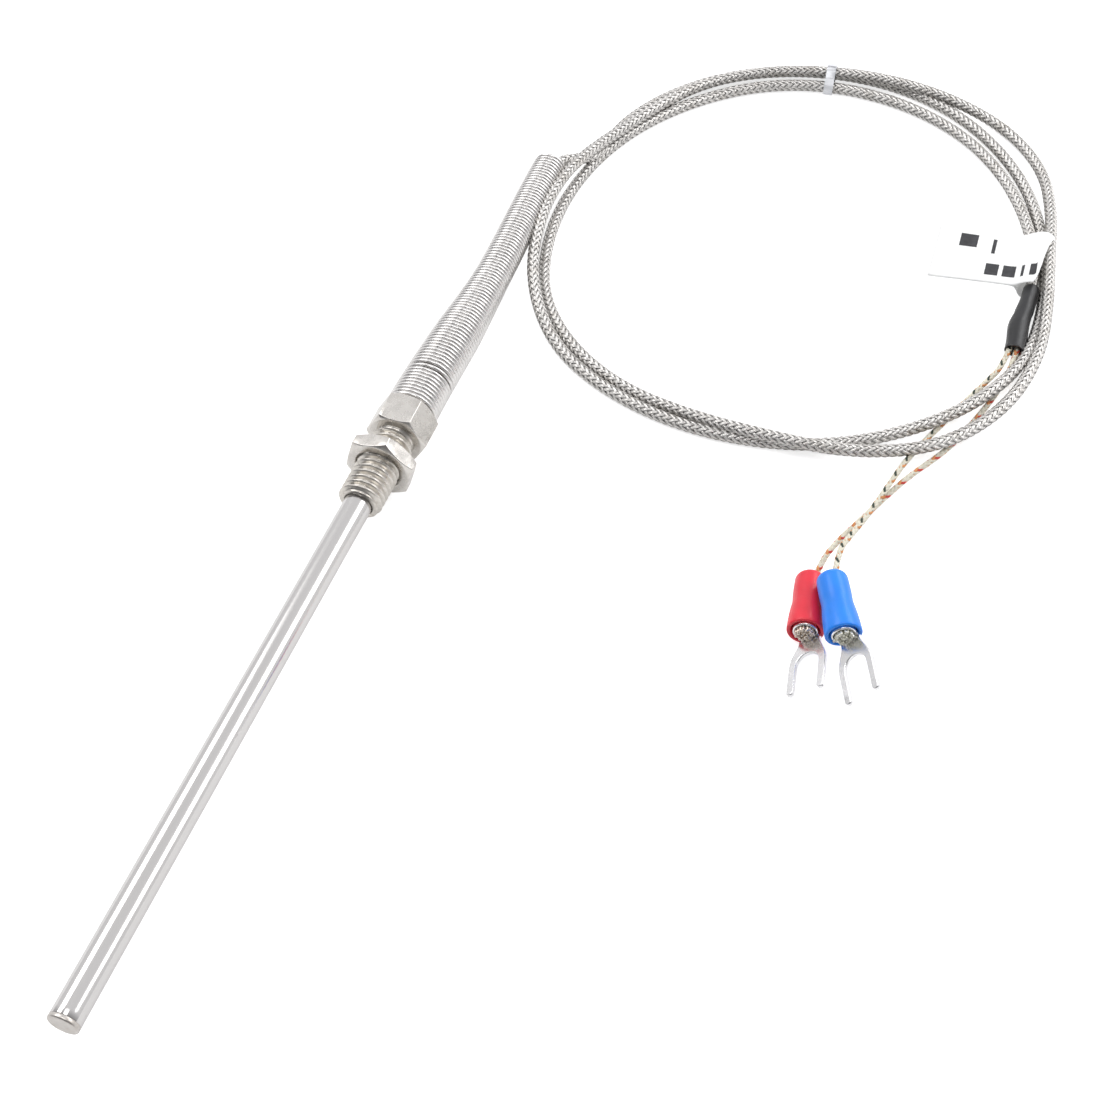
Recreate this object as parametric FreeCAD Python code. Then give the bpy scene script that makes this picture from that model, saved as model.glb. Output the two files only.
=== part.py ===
"""Sheathed thermocouple probe: a closed steel tube with a threaded swivel bushing and lock nut,
a tapered spring as strain relief, and a braided lead that lies in a loose ring and ends in two
insulated fork terminals.

Frame: origin on the probe axis at the front face of the threaded bushing, +X along the axis
towards the lead, +Z up. The probe's closed tip points to -X. Millimetres.
"""
import FreeCAD
import Part

import os
from math import acos, cos, degrees, pi, radians, sin, tan

Vector = FreeCAD.Vector

# --- sheath and what it holds -------------------------------------------------------------
probe_length = 100.0        # closed tip to the front face of the bushing
sheath_d = 5.0
sheath_wall = 0.4
sheath_rear_x = 27.0        # open end of the sheath, inside the ferrule
tip_disc = 0.8              # welded disc that closes the tip
tip_edge = 0.3
bead_d = 2.4                # welded measuring junction
bead_x = -97.6
thermo_wire_d = 0.6
thermo_wire_gap = 1.6       # between the two wires' centres
wire_clearance = 0.05
insulator_front_x = -95.0
insulator_rear_x = 21.0
insulator_clearance = 0.05

# --- threaded bushing and lock nut --------------------------------------------------------
thread_d = 7.84             # crest of an M8 x 1.25 thread
thread_end_x = 14.9
thread_chamfer = 0.7
undercut_d = 6.6
hex_start_x = 15.7
hex_end_x = 22.2
hex_flats = 10.0
bushing_clearance = 0.06    # all round the sheath
mouth_d = 5.9
mouth_depth = 0.6
swivel_start_x = 18.5       # counterbore that holds the ferrule's flange
swivel_end_x = 21.7
swivel_d = 7.7
lip_d = 6.72                # staked lip behind the flange
nut_front_x = 8.3
nut_width = 3.0
nut_flats = 11.5
nut_clearance = 0.06
nut_clock = 15.0            # one corner of the nut stands this far from straight down, degrees

# --- ferrule and spring -------------------------------------------------------------------
ferrule_rear_x = 29.5
ferrule_body_d = 7.6
swivel_play = 0.06
spring_front_x = 22.3
spring_rear_x = 94.1
spring_wire = 0.8
spring_outer = [(22.3, 4.85), (31.0, 4.70), (43.0, 4.50), (50.0, 4.00), (60.0, 3.50), (94.1, 3.30)]
spring_inner = [(22.3, 3.80), (31.0, 3.80), (43.0, 3.65), (60.0, 2.65), (94.1, 2.50)]

# --- lead ---------------------------------------------------------------------------------
surface_z = -nut_flats / 2 / cos(radians(30)) * cos(radians(nut_clock))
cable_d = 2.3
lead_d = 1.1
ring_centre = (97.3, -49.9)
ring_height = 2 * cable_d
# clockwise from the mouth of the spring, seen from above: angle, inner radius, outer radius
ring_outline = [
    (90, 43.0, 47.8), (62, 42.4, 49.2), (35, 43.4, 51.2), (7, 45.2, 51.6),
    (-25, 44.8, 56.0), (-58, 44.2, 52.8), (-90, 45.0, 51.2), (-120, 50.6, 58.0),
    (-145, 54.4, 63.0), (-178, 52.8, 59.8), (-210, 53.2, 59.8), (-240, 48.2, 54.4),
]
lead_out_route = [
    (sheath_rear_x, 0, 0), (94.8, 0, 0), (99.8, -3.3, -2.2), (104.8, -6.3, -4.6),
    (113.5, -7.2, -5.25),
]
tail_route = [(98.5, -96.56, -4.45), (90.0, -96.7, -4.45)]

# --- pieces on the lead -------------------------------------------------------------------
shrink_route = [(96.2, -96.6, -4.45), (78.5, -96.9, -4.45)]
shrink_d = 3.5
shrink_bore = 2.4
tie_at = (144.9, -44.0)
tie_turn = 7.0              # direction of the tie's ring radius, degrees
tie_width = 1.9
tie_thick = 0.4
label_centre_x = 102.5
label_width = 14.5
label_turn = 3.0            # degrees about Z
label_thick = 0.2
label_flag = [(-92.4, -3.6), (-85.0, -4.3), (-76.6, -5.2)]   # (y, z) along the flag

# --- terminals ----------------------------------------------------------------------------
sleeve_length = 12.0
sleeve_mouth_d = 6.2
sleeve_rear_d = 5.2
sleeve_wall = 0.9
sleeve_entry_d = 2.7
barrel_d = 4.2
barrel_bore = 2.6
barrel_length = 6.0
tongue_thick = 0.8
tongue_drop = 1.7           # from the barrel's axis to the middle of the tongue
fork_width = 6.8
fork_slot = 4.3
fork_slot_start = 3.4
fork_length = 11.3
positive_terminal = {"mouth": (2.45, -77.95, -3.04), "yaw": 190.5, "pitch": -3.7, "roll": 37.0}
negative_terminal = {"mouth": (1.15, -84.3, 0.7), "yaw": 204.6, "pitch": 0.0, "roll": 47.0}
positive_route = [
    (89.9, -97.26, -4.45), (75.5, -97.5, -4.5), (67.5, -95.9, -5.7), (59.5, -93.5, -5.8),
    (51.0, -90.4, -5.8), (43.5, -85.8, -5.8), (36.0, -82.5, -5.8), (29.5, -79.8, -5.7),
    (24.0, -77.8, -5.0), (18.6, -76.5, -4.1), (11.9, -76.3, -3.65),
]
negative_route = [
    (89.9, -96.14, -4.45), (75.5, -96.3, -4.5), (68.5, -92.9, -5.7), (61.5, -90.0, -5.8),
    (53.5, -86.9, -5.7), (46.0, -84.4, -5.0), (39.5, -83.1, -4.6), (32.5, -81.6, -4.55),
    (25.6, -79.9, -3.7), (18.4, -78.7, -0.9), (9.7, -80.4, 0.7),
]


def cylinder_x(start, end, diameter, y=0.0, z=0.0):
    return Part.makeCylinder(diameter / 2, end - start, Vector(start, y, z), Vector(1, 0, 0))


def revolve_x(profile):
    """Solid of a closed (x, radius) outline turned about the probe axis."""
    corners = [Vector(x, 0, r) for x, r in profile]
    face = Part.Face(Part.makePolygon(corners + corners[:1]))
    return face.revolve(Vector(0, 0, 0), Vector(1, 0, 0), 360)


def hexagon_prism(start, end, flats, turn):
    """Hexagon bar along X; turn is the angle of one corner from +Y, in degrees."""
    radius = flats / 2 / cos(radians(30))
    angles = [radians(turn + 60 * k) for k in range(6)]
    corners = [Vector(start, radius * cos(a), radius * sin(a)) for a in angles]
    face = Part.Face(Part.makePolygon(corners + corners[:1]))
    return face.extrude(Vector(end - start, 0, 0))


def chamfered_hexagon(start, end, flats, turn):
    """Hexagon with the corners of both faces turned off at 30 degrees."""
    corner = flats / 2 / cos(radians(30))
    face_radius = flats / 2 * 0.97
    drop = (corner - face_radius) * tan(radians(30))
    cone = revolve_x([
        (start, 0), (start, face_radius), (start + drop, corner),
        (end - drop, corner), (end, face_radius), (end, 0),
    ])
    return hexagon_prism(start, end, flats, turn).common(cone)


def run_arcs(points, closed=False):
    """Edges of a path of straight runs joined by tangent arcs, and the arcs' radii."""
    count = len(points)
    joints = range(count) if closed else range(1, count - 1)
    arcs = []
    radii = []
    for i in joints:
        here = points[i]
        back = points[i - 1] - here
        ahead = points[(i + 1) % count] - here
        turn = pi - acos(max(-1.0, min(1.0, back.dot(ahead) / (back.Length * ahead.Length))))
        radius = 0.45 * min(back.Length, ahead.Length) / tan(turn / 2)
        trim = radius * tan(turn / 2)
        start = here + back.normalize() * trim
        end = here + ahead.normalize() * trim
        inward = (start + end) * 0.5 - here
        middle = here + inward.normalize() * (radius / cos(turn / 2) - radius)
        arcs.append((start, middle, end))
        radii.append(radius)
    edges = []
    if not closed:
        edges.append(Part.LineSegment(points[0], arcs[0][0]).toShape())
    for k, (start, middle, end) in enumerate(arcs):
        edges.append(Part.Arc(start, middle, end).toShape())
        if k + 1 < len(arcs):
            edges.append(Part.LineSegment(end, arcs[k + 1][0]).toShape())
    last = arcs[0][0] if closed else points[-1]
    edges.append(Part.LineSegment(arcs[-1][2], last).toShape())
    return edges, radii


def tube_along(name, route, diameter):
    """Solid round tube along a route; prints its radii and compares its volume."""
    points = [Vector(*p) for p in route]
    if len(points) > 2:
        edges, radii = run_arcs(points)
    else:
        edges, radii = [Part.LineSegment(*points).toShape()], []
    path = Part.Wire(edges)
    circle = Part.Circle(points[0], points[1] - points[0], diameter / 2).toShape()
    solid = path.makePipeShell([Part.Wire(circle)], True, False)
    expected = pi * diameter ** 2 / 4 * path.Length
    print(name, "length %.1f" % path.Length, "radii", [round(r, 1) for r in radii],
          "volume ratio %.4f" % (solid.Volume / expected))
    return solid


# --- sheath and inner pieces --------------------------------------------------------------
def sheath_tube():
    outer = cylinder_x(-probe_length + tip_disc, sheath_rear_x, sheath_d)
    bore = cylinder_x(-probe_length + tip_disc, sheath_rear_x, sheath_d - 2 * sheath_wall)
    return outer.cut(bore)


def sheath_end_plug():
    r = sheath_d / 2
    x = -probe_length
    return revolve_x([(x, 0), (x, r - tip_edge), (x + tip_edge, r), (x + tip_disc, r), (x + tip_disc, 0)])


def measuring_junction():
    return Part.makeSphere(bead_d / 2, Vector(bead_x, 0, 0))


def thermo_wire(side):
    wire = cylinder_x(bead_x, sheath_rear_x, thermo_wire_d, y=side * thermo_wire_gap / 2)
    return wire.cut(measuring_junction())


def wire_holes(start, end, diameter):
    """The pair of passages for the thermocouple wires."""
    return [cylinder_x(start, end, diameter, y=side * thermo_wire_gap / 2) for side in (-1, 1)]


def ceramic_insulator():
    diameter = sheath_d - 2 * sheath_wall - 2 * insulator_clearance
    rod = cylinder_x(insulator_front_x, insulator_rear_x, diameter)
    holes = wire_holes(insulator_front_x, insulator_rear_x, thermo_wire_d + 2 * wire_clearance)
    return rod.cut(holes)


def tip_fill():
    start = -probe_length + tip_disc
    fill = cylinder_x(start, insulator_front_x, sheath_d - 2 * sheath_wall)
    return fill.cut([measuring_junction()] + wire_holes(bead_x, insulator_front_x, thermo_wire_d))


def rear_seal():
    seal = cylinder_x(insulator_rear_x, sheath_rear_x, sheath_d - 2 * sheath_wall)
    return seal.cut(wire_holes(insulator_rear_x, sheath_rear_x, thermo_wire_d))


# --- bushing, nut, ferrule, spring --------------------------------------------------------
def threaded_bushing():
    bore = sheath_d / 2 + bushing_clearance
    crest = thread_d / 2
    root = undercut_d / 2
    stem = revolve_x([
        (mouth_depth, bore), (0, mouth_d / 2), (0, crest - thread_chamfer), (thread_chamfer, crest),
        (thread_end_x, crest), (thread_end_x, root), (hex_start_x + 1, root), (hex_start_x + 1, bore),
    ])
    head = chamfered_hexagon(hex_start_x, hex_end_x, hex_flats, 0)
    head = head.cut([
        cylinder_x(hex_start_x, hex_end_x, 2 * bore),
        cylinder_x(swivel_start_x, swivel_end_x, swivel_d),
        cylinder_x(swivel_end_x, hex_end_x, lip_d),
    ])
    return stem.fuse(head).removeSplitter()


def lock_nut():
    end = nut_front_x + nut_width
    nut = chamfered_hexagon(nut_front_x, end, nut_flats, -90 + nut_clock)
    return nut.cut(cylinder_x(nut_front_x, end, thread_d + 2 * nut_clearance))


def crimp_ferrule():
    flange = swivel_d / 2 - swivel_play
    neck = lip_d / 2 - swivel_play
    body = ferrule_body_d / 2
    body_x = hex_end_x + swivel_play
    grip = cable_d / 2
    return revolve_x([
        (swivel_start_x + swivel_play, sheath_d / 2), (swivel_start_x + swivel_play, flange),
        (swivel_end_x - swivel_play, flange), (swivel_end_x - swivel_play, neck),
        (body_x, neck), (body_x, body), (ferrule_rear_x, body), (ferrule_rear_x, grip),
        (sheath_rear_x, grip), (sheath_rear_x, sheath_d / 2),
    ])


def along(profile, x):
    """Radius of a piecewise straight (x, radius) profile at x."""
    for (x0, r0), (x1, r1) in zip(profile, profile[1:]):
        if x <= x1:
            return r0 + (r1 - r0) * (x - x0) / (x1 - x0)
    return profile[-1][1]


def strain_relief_spring():
    """Close-wound tapered spring as a sleeve of touching rings."""
    count = round((spring_rear_x - spring_front_x) / spring_wire)
    pitch = (spring_rear_x - spring_front_x) / count
    edges = []
    for k in range(count):
        x = spring_front_x + k * pitch
        start = Vector(x, 0, along(spring_outer, x) - spring_wire / 2)
        middle = Vector(x + pitch / 2, 0, along(spring_outer, x + pitch / 2))
        end = Vector(x + pitch, 0, along(spring_outer, x + pitch) - spring_wire / 2)
        edges.append(Part.Arc(start, middle, end).toShape())
    first = edges[0].valueAt(edges[0].FirstParameter)
    last = edges[-1].valueAt(edges[-1].LastParameter)
    inner = [last] + [Vector(x, 0, r) for x, r in reversed(spring_inner)] + [first]
    edges += [Part.LineSegment(a, b).toShape() for a, b in zip(inner, inner[1:])]
    face = Part.Face(Part.Wire(edges))
    return face.revolve(Vector(0, 0, 0), Vector(1, 0, 0), 360)


# --- lead and the pieces on it ------------------------------------------------------------
def ring_face(radii):
    points = []
    for angle, radius in radii:
        a = radians(angle)
        points.append(Vector(ring_centre[0] + radius * cos(a), ring_centre[1] + radius * sin(a), surface_z))
    edges, arc_radii = run_arcs(points, closed=True)
    print("ring outline radii", [round(r) for r in arc_radii])
    return Part.Face(Part.Wire(edges))


def cable_coil(pieces_through):
    """The loose ring of cable as one closed band, cleared for the spring and what it carries."""
    outer = ring_face([(angle, r_out) for angle, r_in, r_out in ring_outline])
    inner = ring_face([(angle, r_in) for angle, r_in, r_out in ring_outline])
    band = outer.cut(inner).extrude(Vector(0, 0, ring_height))
    spring_room = cylinder_x(60, spring_rear_x + 1.5, 7.4)
    return band.cut([spring_room] + pieces_through)


def shrink_room():
    """Space of the heat-shrink sleeve and the stub of cable that enters it."""
    start, end = [Vector(*p) for p in shrink_route]
    axis = end - start
    return Part.makeCylinder(shrink_d / 2 + 0.3, axis.Length + 3, start, axis)


def turned_z(shape, centre, angle):
    shape.rotate(Vector(centre[0], centre[1], 0), Vector(0, 0, 1), angle)
    return shape


def cable_tie():
    """White plastic band round the bundle, as a closed rectangular loop."""
    span = 7.6
    centre_x, centre_y = tie_at
    height = ring_height + tie_thick
    low = Vector(centre_x - span / 2, centre_y - tie_width / 2, surface_z)
    loop = Part.makeBox(span, tie_width, height, low)
    inset = Vector(tie_thick, 0, tie_thick)
    hole = Part.makeBox(span - 2 * tie_thick, tie_width, height - 2 * tie_thick, low + inset)
    return turned_z(loop.cut(hole), tie_at, tie_turn)


def label_flag_piece():
    """Folded paper label: a band closed round the bundle and a double flag inside the ring."""
    x = label_centre_x - label_width / 2
    outer_y = ring_centre[1] - 51.6
    top = surface_z + ring_height + label_thick
    flag_y, flag_z = label_flag[0]
    loop = [
        (outer_y, surface_z), (outer_y, top), (flag_y - 0.8, top), (flag_y, flag_z + label_thick),
    ]
    loop += [(y, z + label_thick) for y, z in label_flag[1:]]
    loop += [(y, z) for y, z in reversed(label_flag)]
    loop += [(flag_y - 0.2, surface_z)]
    t = label_thick
    hole = [
        (outer_y + t, surface_z + t), (outer_y + t, top - t), (flag_y - 1.0, top - t),
        (flag_y - 0.4, flag_z), (flag_y - 0.4, surface_z + t),
    ]
    solids = []
    for outline in (loop, hole):
        corners = [Vector(x, y, z) for y, z in outline]
        face = Part.Face(Part.makePolygon(corners + corners[:1]))
        solids.append(face.extrude(Vector(label_width, 0, 0)))
    return turned_z(solids[0].cut(solids[1]), (label_centre_x, outer_y), label_turn)


def heat_shrink_sleeve():
    start, end = [Vector(*p) for p in shrink_route]
    axis = end - start
    outer = Part.makeCylinder(shrink_d / 2, axis.Length, start, axis)
    return outer.cut(Part.makeCylinder(shrink_bore / 2, axis.Length, start, axis))


# --- terminals, drawn along +X from the mouth of the sleeve, then placed ---------------------
def sleeve_shape():
    """Insulating cap, wider towards its mouth, with a narrow rear opening for the lead."""
    rear = -sleeve_length
    mouth = sleeve_mouth_d / 2
    body = sleeve_rear_d / 2
    hollow = barrel_d / 2
    entry = sleeve_entry_d / 2
    return revolve_x([
        (rear, entry), (rear, body - 0.9), (rear + 0.9, body), (rear + 6.0, body + 0.15),
        (-0.6, mouth), (0, mouth - 0.2), (0, mouth - sleeve_wall + 0.1), (-0.8, hollow),
        (-barrel_length, hollow), (-barrel_length, entry),
    ])


def fork_outline():
    """Plan of the flat fork: neck, rounded shoulders, two prongs round an open slot."""
    half = fork_width / 2
    slot = fork_slot / 2
    prong = half - slot
    neck = 1.9
    shoulder = fork_slot_start + slot
    tip = fork_length - prong / 2
    plan = [
        Part.LineSegment(Vector(-1.5, neck, 0), Vector(1.2, neck, 0)),
        Part.Arc(Vector(1.2, neck, 0), Vector(3.4, 2.9, 0), Vector(shoulder, half, 0)),
        Part.LineSegment(Vector(shoulder, half, 0), Vector(tip, half, 0)),
        Part.Arc(Vector(tip, half, 0), Vector(fork_length, half - prong / 2, 0), Vector(tip, slot, 0)),
        Part.LineSegment(Vector(tip, slot, 0), Vector(shoulder, slot, 0)),
        Part.Arc(Vector(shoulder, slot, 0), Vector(fork_slot_start, 0, 0), Vector(shoulder, -slot, 0)),
        Part.LineSegment(Vector(shoulder, -slot, 0), Vector(tip, -slot, 0)),
        Part.Arc(Vector(tip, -slot, 0), Vector(fork_length, prong / 2 - half, 0), Vector(tip, -half, 0)),
        Part.LineSegment(Vector(tip, -half, 0), Vector(shoulder, -half, 0)),
        Part.Arc(Vector(shoulder, -half, 0), Vector(3.4, -2.9, 0), Vector(1.2, -neck, 0)),
        Part.LineSegment(Vector(1.2, -neck, 0), Vector(-1.5, -neck, 0)),
        Part.LineSegment(Vector(-1.5, -neck, 0), Vector(-1.5, neck, 0)),
    ]
    return Part.Face(Part.Wire([edge.toShape() for edge in plan]))


def fork_shape():
    """Crimp barrel with its flat forked tongue."""
    low = -tongue_drop - tongue_thick / 2
    tongue = fork_outline().extrude(Vector(0, 0, tongue_thick))
    tongue.translate(Vector(0, 0, low))
    envelope = cylinder_x(-barrel_length, 0, barrel_d)
    within = cylinder_x(-barrel_length, 0, 20).cut(envelope)
    barrel = envelope.cut(cylinder_x(-barrel_length, 0, barrel_bore))
    tongue = tongue.cut([within, cylinder_x(-barrel_length, 0, barrel_bore)])
    return barrel.fuse(tongue).removeSplitter()


def conductor_shape():
    """Stripped strands that stand out of the crimp barrel."""
    return cylinder_x(-barrel_length, 0.8, 1.9)


def placed(shape, terminal):
    """Move a terminal piece from its own frame to where the terminal lies."""
    shape.rotate(Vector(0, 0, 0), Vector(1, 0, 0), terminal["roll"])
    shape.rotate(Vector(0, 0, 0), Vector(0, 1, 0), terminal["pitch"])
    shape.rotate(Vector(0, 0, 0), Vector(0, 0, 1), terminal["yaw"])
    shape.translate(Vector(*terminal["mouth"]))
    return shape


def build():
    tie = cable_tie()
    label = label_flag_piece()
    return {
        "sheath_tube": sheath_tube(),
        "sheath_end_plug": sheath_end_plug(),
        "measuring_junction": measuring_junction(),
        "positive_thermo_wire": thermo_wire(1),
        "negative_thermo_wire": thermo_wire(-1),
        "ceramic_insulator": ceramic_insulator(),
        "tip_fill": tip_fill(),
        "rear_seal": rear_seal(),
        "crimp_ferrule": crimp_ferrule(),
        "threaded_bushing": threaded_bushing(),
        "lock_nut": lock_nut(),
        "strain_relief_spring": strain_relief_spring(),
        "cable_lead_out": tube_along("cable_lead_out", lead_out_route, cable_d),
        "cable_coil": cable_coil([tie, label, shrink_room()]),
        "cable_tail": tube_along("cable_tail", tail_route, cable_d),
        "cable_tie": tie,
        "label_flag": label,
        "heat_shrink_sleeve": heat_shrink_sleeve(),
        "positive_lead": tube_along("positive_lead", positive_route, lead_d),
        "negative_lead": tube_along("negative_lead", negative_route, lead_d),
        "positive_conductor": placed(conductor_shape(), positive_terminal),
        "negative_conductor": placed(conductor_shape(), negative_terminal),
        "positive_fork": placed(fork_shape(), positive_terminal),
        "negative_fork": placed(fork_shape(), negative_terminal),
        "positive_sleeve": placed(sleeve_shape(), positive_terminal),
        "negative_sleeve": placed(sleeve_shape(), negative_terminal),
    }


os.makedirs("parts", exist_ok=True)
for node, shape in build().items():
    shape.exportStep("parts/%s.step" % node)
    print(node, "volume %.1f" % shape.Volume, "solids", len(shape.Solids), "valid", shape.isValid())
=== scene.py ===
"""Look of the thermocouple probe: braided lead, spring, threads and terminals over the CAD frame."""

from math import atan, ceil, cos, exp, pi, radians, sin, sqrt, tan

import bpy
import numpy as np
from mathutils import Matrix, Vector


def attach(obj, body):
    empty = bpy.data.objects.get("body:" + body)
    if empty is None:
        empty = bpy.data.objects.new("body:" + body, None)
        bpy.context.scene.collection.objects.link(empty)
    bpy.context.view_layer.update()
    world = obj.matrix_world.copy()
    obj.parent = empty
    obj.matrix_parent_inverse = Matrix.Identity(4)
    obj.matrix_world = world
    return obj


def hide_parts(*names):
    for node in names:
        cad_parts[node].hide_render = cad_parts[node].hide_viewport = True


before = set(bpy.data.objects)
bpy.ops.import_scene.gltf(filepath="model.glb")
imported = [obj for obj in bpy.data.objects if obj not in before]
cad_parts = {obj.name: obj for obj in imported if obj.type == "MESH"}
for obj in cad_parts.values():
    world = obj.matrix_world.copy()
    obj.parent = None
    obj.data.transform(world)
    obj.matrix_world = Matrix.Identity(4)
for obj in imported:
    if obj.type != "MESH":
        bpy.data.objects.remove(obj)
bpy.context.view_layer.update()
MM = 0.001

# sizes and places in millimetres; the probe lies along X with its thread's front end at the origin
SURFACE = -6.413                            # height of what the probe lies on
CABLE_D = 2.3
LEAD_D = 1.1
REST = SURFACE + CABLE_D / 2                # centre line of a cable that lies on the surface
RING_CENTRE = (97.3, -49.9)
TIP_X, TIP_DISC_X, SHEATH_REAR_X = -100, -99.2, 27
SHEATH_R = 2.5
THREAD_PITCH, THREAD_END = 1.25, 14.9
THREAD_CREST, THREAD_ROOT = 3.92, 3.28      # radii
BORE_R = 2.56                               # the bushing's bore
HEXAGON_START, HEXAGON_END, HEXAGON_FLATS = 15.7, 22.2, 10.0
NUT_START, NUT_END, NUT_FLATS = 8.3, 11.3, 11.5
NUT_TURN = -75.0                            # angle of one corner from +Y, degrees
SPRING_WIRE = 0.78
SPRING_OUTER = [
    (22.3, 4.85), (31.0, 4.72), (43.0, 4.45), (50.0, 4.02), (58.0, 3.58), (64.0, 3.45), (94.1, 3.30),
]                                           # (x, outer radius)
SPRING_TURNS = 87
OPENED_TURN, OPENED_GAP = 9.3, 0.45         # one turn stands slightly apart from the next

# routes of the cable and of the two leads, as in the CAD
LEAD_OUT = [(27, 0, 0), (94.8, 0, 0), (99.8, -3.3, -2.2), (104.8, -6.3, -4.6)]
TAIL = [(98.5, -96.56, -4.45), (90.0, -96.7, -4.45)]
POSITIVE_ROUTE = [
    (89.9, -97.26, -4.45), (75.5, -97.5, -4.5), (67.5, -95.9, -5.7), (59.5, -93.5, -5.8),
    (51.0, -90.4, -5.8), (43.5, -85.8, -5.8), (36.0, -82.5, -5.8), (29.5, -79.8, -5.7),
    (24.0, -77.8, -5.0), (18.6, -76.5, -4.1), (11.9, -76.3, -3.65),
]
NEGATIVE_ROUTE = [
    (89.9, -96.14, -4.45), (75.5, -96.3, -4.5), (68.5, -92.9, -5.7), (61.5, -90.0, -5.8),
    (53.5, -86.9, -5.7), (46.0, -84.4, -5.0), (39.5, -83.1, -4.6), (32.5, -81.6, -4.55),
    (25.6, -79.9, -3.7), (18.4, -78.7, -0.9), (9.7, -80.4, 0.7),
]
# where the turns lie: angle about the ring's centre from +X (degrees), radius, height of the centre line
TURNS = [
    (66, 46.6, REST), (30, 49.8, REST), (-12, 51.4, REST), (-45, 49.2, REST), (-75, 47.7, REST),
    (-95, 49.6, REST), (-118, 54.2, -4.0), (-135, 55.2, -4.1), (-156, 55.9, REST),
    (-200, 56.7, REST), (-222, 56.0, -4.8), (-238, 52.6, -0.8), (-254, 47.8, 1.5),
    (-270, 45.4, -0.6), (-286, 44.0, -2.9), (-302, 44.2, -3.3), (-320, 47.2, -3.8),
    (-355, 49.2, -3.5), (-375, 51.4, -3.4), (-392, 54.8, -5.1), (-406, 54.8, REST),
    (-434, 48.8, -3.5), (-452, 49.4, -3.1), (-478, 57.0, -4.1), (-497, 60.8, -4.3),
    (-512, 59.6, -4.0), (-527, 56.6, -3.1), (-543, 54.4, -4.4), (-562, 54.4, REST),
    (-585, 53.0, REST), (-612, 47.4, REST), (-640, 44.2, REST), (-672, 43.8, REST),
    (-705, 46.1, REST), (-745, 46.6, REST), (-780, 45.4, REST), (-798, 45.8, -4.7),
]
POINTS_PER_TURN = 24

# mouth of each crimp barrel and the directions of the terminals (degrees), as in the CAD
TERMINALS = {
    "positive": {"mouth": (2.45, -77.95, -3.04), "yaw": 190.5, "pitch": -3.7, "roll": 37.0},
    "negative": {"mouth": (1.15, -84.3, 0.7), "yaw": 204.6, "pitch": 0.0, "roll": 47.0},
}
TIE_ANGLE = 7.0                             # where the tie sits on the ring, degrees

# the label: a strip of paper folded round the strands, its two ends stuck together
LABEL_WIDTH, LABEL_TURN = 14.5, radians(3.0)
LABEL_PIVOT = (102.5, RING_CENTRE[1] - 51.6)
LABEL_SIDE = [
    (-76.6, -5.28), (-80.5, -4.86), (-85.0, -4.42), (-89.0, -4.05), (-92.3, -3.85), (-93.3, -4.4),
    (-94.0, -5.6), (-95.0, -6.30), (-97.5, -6.36), (-99.6, -6.33), (-100.7, -5.8), (-101.1, -4.5),
    (-100.8, -2.9), (-99.9, -1.95), (-98.4, -1.66), (-96.4, -1.75), (-94.6, -2.35), (-93.3, -3.2),
    (-92.2, -3.64), (-89.0, -3.93), (-85.0, -4.30), (-80.5, -4.74), (-76.6, -5.16),
]                                           # (y, z) along the strip, lower layer first
LABEL_TOP_FROM = 14                         # where the upper layer begins in that list
# plain bars in place of the print: from and to across the strip (u), from and to along it (y)
LABEL_BARS = [
    (0.14, 0.38, -81.0, -84.4), (0.06, 0.34, -87.3, -88.0), (-0.36, -0.14, -86.9, -89.4),
    (-0.36, -0.14, -90.2, -92.6), (-0.36, -0.14, -93.6, -94.1), (-0.36, -0.14, -95.1, -96.4),
]


def add(obj, body="probe", material=None):
    """Puts an object in the scene, with its material, on a body of the CAD."""
    bpy.context.scene.collection.objects.link(obj)
    if material:
        obj.data.materials.append(material)
    if body:
        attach(obj, body)
    return obj


def mesh_object(name, points, faces, body="probe", material=None, matrix=None, sharp=None, uv=None):
    """Smooth mesh from points in millimetres; uv holds one (u, v) per point."""
    mesh = bpy.data.meshes.new(name)
    array = np.asarray(points, dtype=float)
    if matrix is not None:
        m = np.array(matrix)
        array = array @ m[:3, :3].T + m[:3, 3]
    mesh.from_pydata((array * MM).tolist(), [], [tuple(int(i) for i in f) for f in faces])
    mesh.polygons.foreach_set("use_smooth", [True] * len(mesh.polygons))
    if uv is not None:
        layer = mesh.uv_layers.new(name="along")
        index = np.empty(len(mesh.loops), dtype=np.int32)
        mesh.loops.foreach_get("vertex_index", index)
        layer.data.foreach_set("uv", np.asarray(uv, dtype=float)[index].ravel())
    mesh.update()
    if sharp:
        mesh.set_sharp_from_angle(angle=radians(sharp))
    return add(bpy.data.objects.new(name, mesh), body, material)


def soften(obj, width, segments=3, angle=30):
    """Rounded edges, in millimetres."""
    bevel = obj.modifiers.new("edges", "BEVEL")
    bevel.width = width * MM
    bevel.segments = segments
    bevel.limit_method = "ANGLE"
    bevel.angle_limit = radians(angle)
    bevel.use_clamp_overlap = True
    normals = obj.modifiers.new("normals", "WEIGHTED_NORMAL")
    normals.keep_sharp = False
    return obj


def grid_faces(rows, columns, wrap=True, start=0):
    """Quads of a grid of points stored row by row."""
    faces = []
    for i in range(rows - 1):
        for j in range(columns if wrap else columns - 1):
            k = (j + 1) % columns
            faces.append((start + i * columns + j, start + i * columns + k,
                          start + (i + 1) * columns + k, start + (i + 1) * columns + j))
    return faces


def lathe(name, profile, columns=96, closed=False, **rest):
    """Profile of (x, radius) turned about the X axis."""
    points = []
    for x, r in profile:
        for j in range(columns):
            a = 2 * pi * j / columns
            points.append((x, r * cos(a), r * sin(a)))
    faces = grid_faces(len(profile), columns)
    if closed:
        last = (len(profile) - 1) * columns
        faces += [(last + j, last + (j + 1) % columns, (j + 1) % columns, j) for j in range(columns)]
    return mesh_object(name, points, faces, **rest)


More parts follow.
